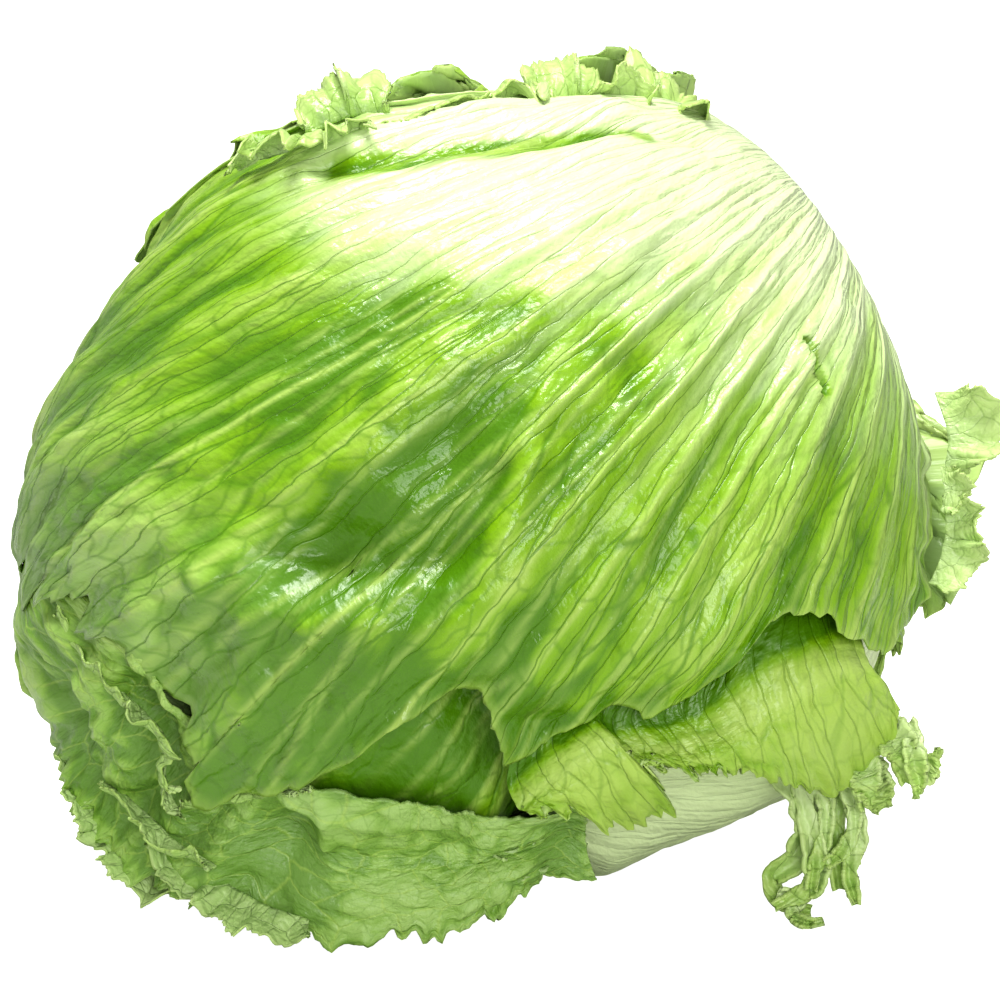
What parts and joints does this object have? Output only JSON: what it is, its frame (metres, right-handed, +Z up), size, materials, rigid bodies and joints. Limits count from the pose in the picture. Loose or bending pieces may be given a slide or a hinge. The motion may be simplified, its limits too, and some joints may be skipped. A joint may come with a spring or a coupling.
{
  "type": "iceberg lettuce",
  "caption": "Whole cut head of iceberg lettuce lying on its side, with loose ribbed outer leaves wrapped over a tight heart and torn ruffled edges.",
  "frame": {"origin": "on the surface that the head lies on, under the middle of its bounding box", "axes": "+Z up from the surface; -Y towards the viewer of the picture; +X to the viewer's right, which is the stem side"},
  "size_m": [0.1787, 0.152, 0.145],
  "materials": {
    "outer_leaf": "glossy leaf",
    "inner_leaf": "satin leaf",
    "dull_leaf": "satin leaf",
    "bright_leaf": "glossy leaf",
    "pale_leaf": "satin leaf",
    "heart": "satin leaf",
    "cut_stem": "matte cut stem"
  },
  "bodies": {
    "root": {"front_leaf": "outer_leaf", "inner_leaf": "inner_leaf", "wrap_leaf": "dull_leaf", "side_leaf": "bright_leaf", "under_leaf": "pale_leaf", "right_leaf": "outer_leaf", "top_leaf": "outer_leaf", "back_leaf": "outer_leaf", "heart": "heart", "stem": "cut_stem"}
  },
  "joints": []
}
